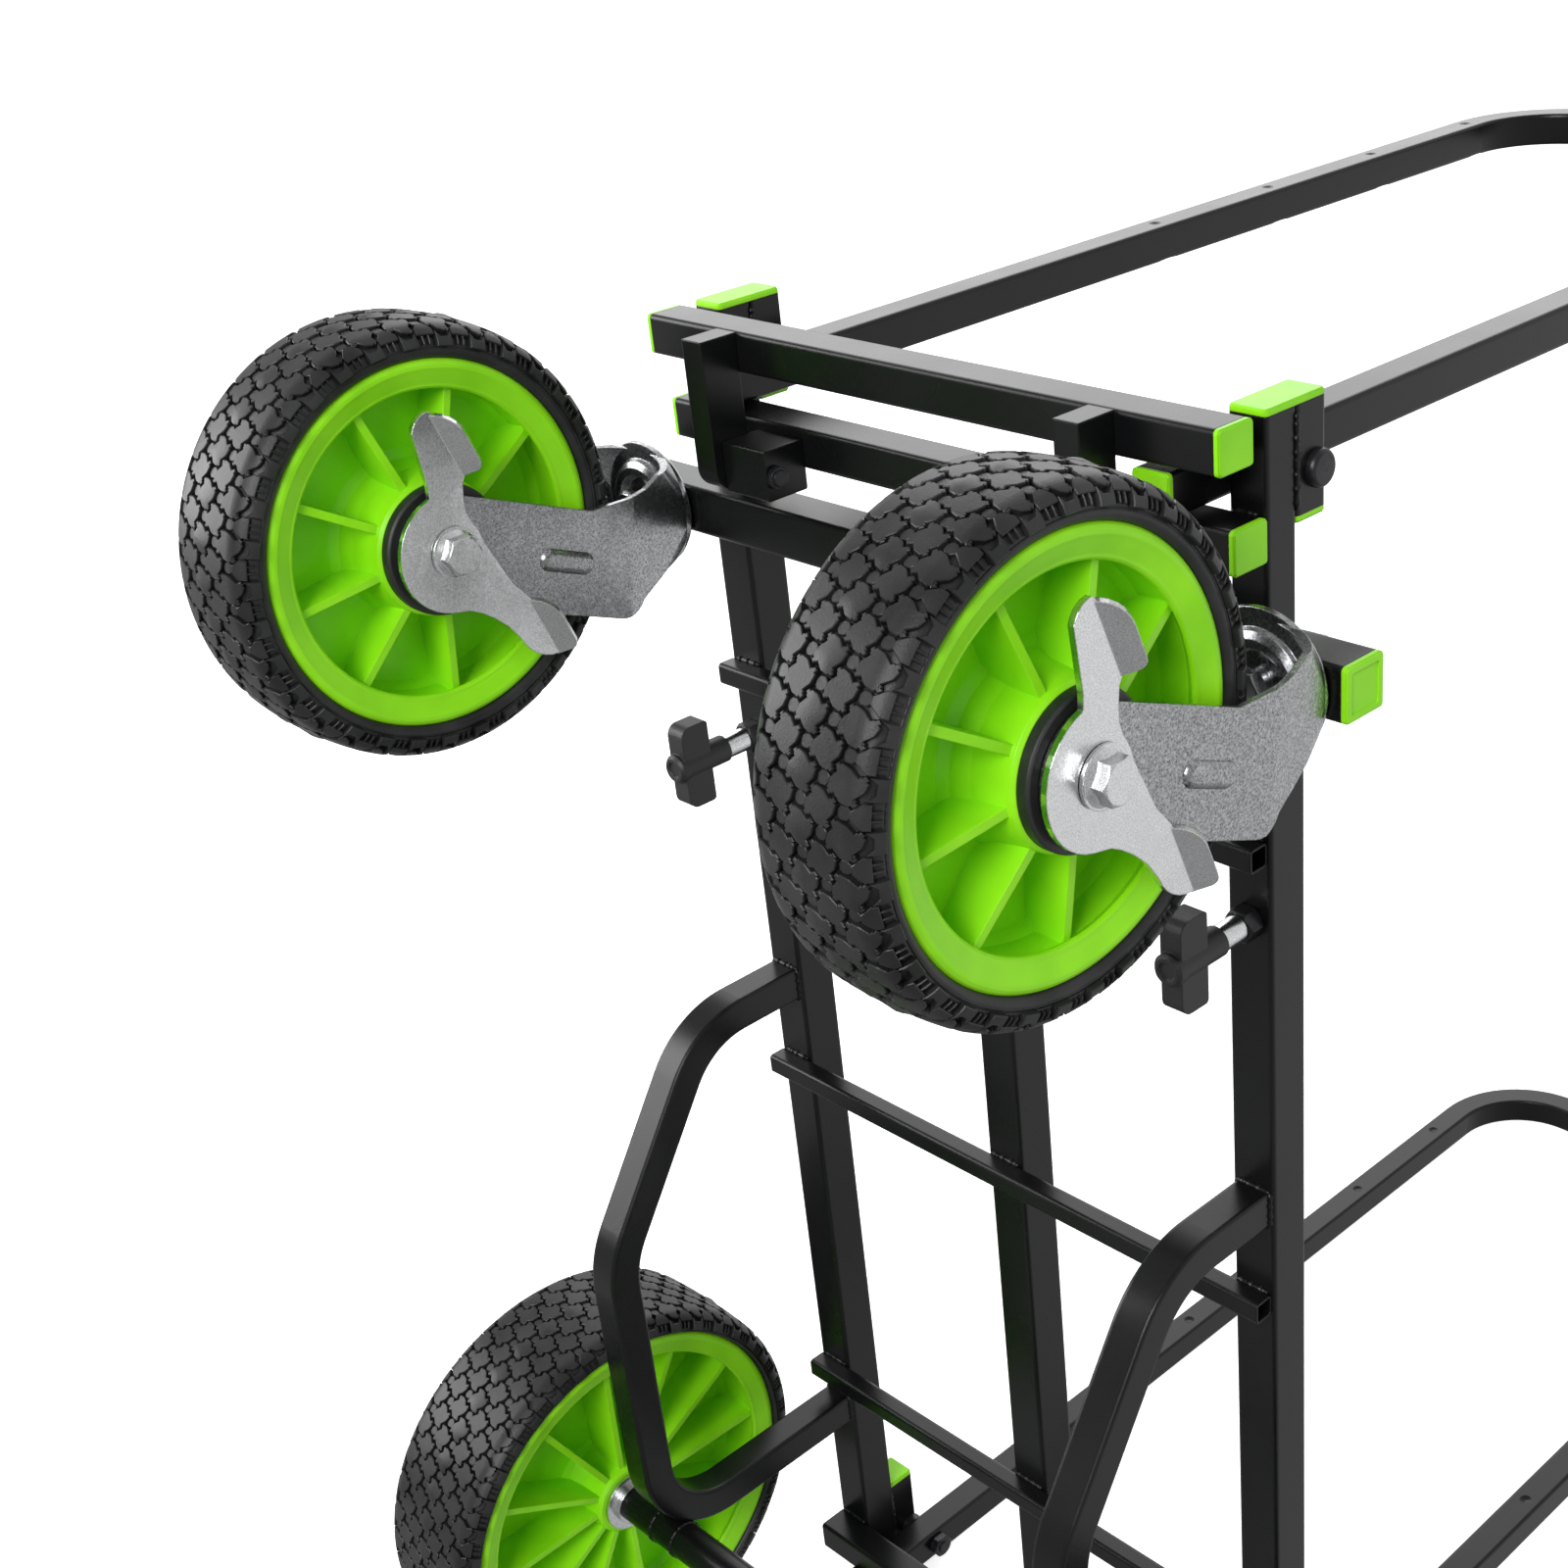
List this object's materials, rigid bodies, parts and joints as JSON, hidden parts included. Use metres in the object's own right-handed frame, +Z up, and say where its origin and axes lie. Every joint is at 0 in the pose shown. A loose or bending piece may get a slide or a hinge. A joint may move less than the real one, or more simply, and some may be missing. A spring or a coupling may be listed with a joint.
{
  "type": "convertible hand truck",
  "caption": "Tube-frame hand truck that lies down as a platform cart: telescoping rails, folding load loops, large ribbed wheels and braked swivel casters.",
  "frame": {"origin": "on the floor, midway along the cart's length and midway between its wheels", "axes": "+Z up, +Y from the wheels back along the loops, +X across to the right-hand wheels"},
  "size_m": [0.588, 1.025, 0.885],
  "materials": {
    "black_coat": "satin powder coat",
    "lime_plastic": "smooth moulded plastic",
    "zinc_plate": "bright zinc plate",
    "tyre_rubber": "moulded rubber",
    "black_plastic": "fine grained plastic",
    "black_bolt": "black plated steel"
  },
  "bodies": {
    "lower_frame": {"outer_rail_l": "black_coat", "outer_rail_r": "black_coat", "centre_rail": "black_coat", "rung_low": "black_coat", "rung_mid": "black_coat", "rung_top": "black_coat", "toe_bar": "black_coat", "axle_bracket_l": "black_coat", "axle_bracket_r": "black_coat", "axle_tube": "black_coat", "axle_rod": "zinc_plate", "axle_fasteners": "zinc_plate", "foot_caps": "lime_plastic", "toe_bracket_l": "black_coat", "toe_bracket_r": "black_coat", "toe_bolts": "black_bolt", "knob_nuts": "black_bolt"},
    "rear_wheel_l": {"rear_rim_l": "lime_plastic", "rear_tyre_l": "tyre_rubber"},
    "rear_wheel_r": {"rear_rim_r": "lime_plastic", "rear_tyre_r": "tyre_rubber"},
    "toe_loop": {"toe_loop": "black_coat", "toe_loop_caps": "lime_plastic"},
    "upper_frame": {"inner_rail_l": "black_coat", "inner_rail_r": "black_coat", "cross_bar": "black_coat", "caster_bar": "black_coat", "cross_bar_caps": "lime_plastic", "caster_bar_caps": "lime_plastic", "pivot_bracket_l": "black_coat", "pivot_bracket_r": "black_coat", "top_caps": "lime_plastic", "bracket_caps": "lime_plastic", "pivot_bolts": "black_bolt", "load_loop": "black_coat", "load_loop_caps": "lime_plastic", "latch_blocks": "black_coat", "latch_bolts": "black_bolt", "swivel_races": "zinc_plate", "swivel_bolts": "zinc_plate"},
    "latch": {"latch_bar": "black_coat", "latch_arms": "black_coat", "latch_caps": "lime_plastic"},
    "caster_fork_l": {"fork_l": "zinc_plate", "wheel_bolt_l": "zinc_plate", "brake_disc_l": "black_plastic"},
    "caster_wheel_l": {"caster_rim_l": "lime_plastic", "caster_tyre_l": "tyre_rubber"},
    "brake_pedal_l": {"pedal_l": "zinc_plate"},
    "clamp_knob_l": {"knob_head_l": "black_plastic", "knob_screw_l": "zinc_plate"},
    "caster_fork_r": {"fork_r": "zinc_plate", "wheel_bolt_r": "zinc_plate", "brake_disc_r": "black_plastic"},
    "caster_wheel_r": {"caster_rim_r": "lime_plastic", "caster_tyre_r": "tyre_rubber"},
    "brake_pedal_r": {"pedal_r": "zinc_plate"},
    "clamp_knob_r": {"knob_head_r": "black_plastic", "knob_screw_r": "zinc_plate"}
  },
  "joints": [
    {"name": "telescope", "type": "slide", "parent": "lower_frame", "child": "upper_frame", "axis": [0, 0, 1], "range_m": [0, 0.2]},
    {"name": "toe_fold", "type": "hinge", "parent": "lower_frame", "child": "toe_loop", "pos_m": [0, -0.194, 0.01], "axis": [1, 0, 0], "range_deg": [0, 90]},
    {"name": "latch_swing", "type": "hinge", "parent": "upper_frame", "child": "latch", "pos_m": [0, -0.2715, 0.7907], "axis": [1, 0, 0], "range_deg": [0, 40]},
    {"name": "rear_spin_l", "type": "hinge", "parent": "lower_frame", "child": "rear_wheel_l", "pos_m": [-0.2485, -0.3735, 0.13], "axis": [1, 0, 0], "continuous": true},
    {"name": "swivel_l", "type": "hinge", "parent": "upper_frame", "child": "caster_fork_l", "pos_m": [-0.202, -0.2628, 0.7525], "axis": [0, 1, 0], "continuous": true},
    {"name": "caster_spin_l", "type": "hinge", "parent": "caster_fork_l", "child": "caster_wheel_l", "pos_m": [-0.202, -0.4065, 0.779], "axis": [1, 0, 0], "continuous": true},
    {"name": "brake_rock_l", "type": "hinge", "parent": "caster_fork_l", "child": "brake_pedal_l", "pos_m": [-0.1602, -0.4065, 0.779], "axis": [1, 0, 0], "range_deg": [0, 15]},
    {"name": "knob_turn_l", "type": "hinge", "parent": "lower_frame", "child": "clamp_knob_l", "pos_m": [-0.1715, -0.257, 0.617], "axis": [0, 1, 0], "continuous": true},
    {"name": "rear_spin_r", "type": "hinge", "parent": "lower_frame", "child": "rear_wheel_r", "pos_m": [0.2485, -0.3735, 0.13], "axis": [1, 0, 0], "continuous": true},
    {"name": "swivel_r", "type": "hinge", "parent": "upper_frame", "child": "caster_fork_r", "pos_m": [0.202, -0.2628, 0.7525], "axis": [0, 1, 0], "continuous": true},
    {"name": "caster_spin_r", "type": "hinge", "parent": "caster_fork_r", "child": "caster_wheel_r", "pos_m": [0.202, -0.4065, 0.779], "axis": [1, 0, 0], "continuous": true},
    {"name": "brake_rock_r", "type": "hinge", "parent": "caster_fork_r", "child": "brake_pedal_r", "pos_m": [0.2438, -0.4065, 0.779], "axis": [1, 0, 0], "range_deg": [0, 15]},
    {"name": "knob_turn_r", "type": "hinge", "parent": "lower_frame", "child": "clamp_knob_r", "pos_m": [0.1715, -0.257, 0.617], "axis": [0, 1, 0], "continuous": true}
  ]
}
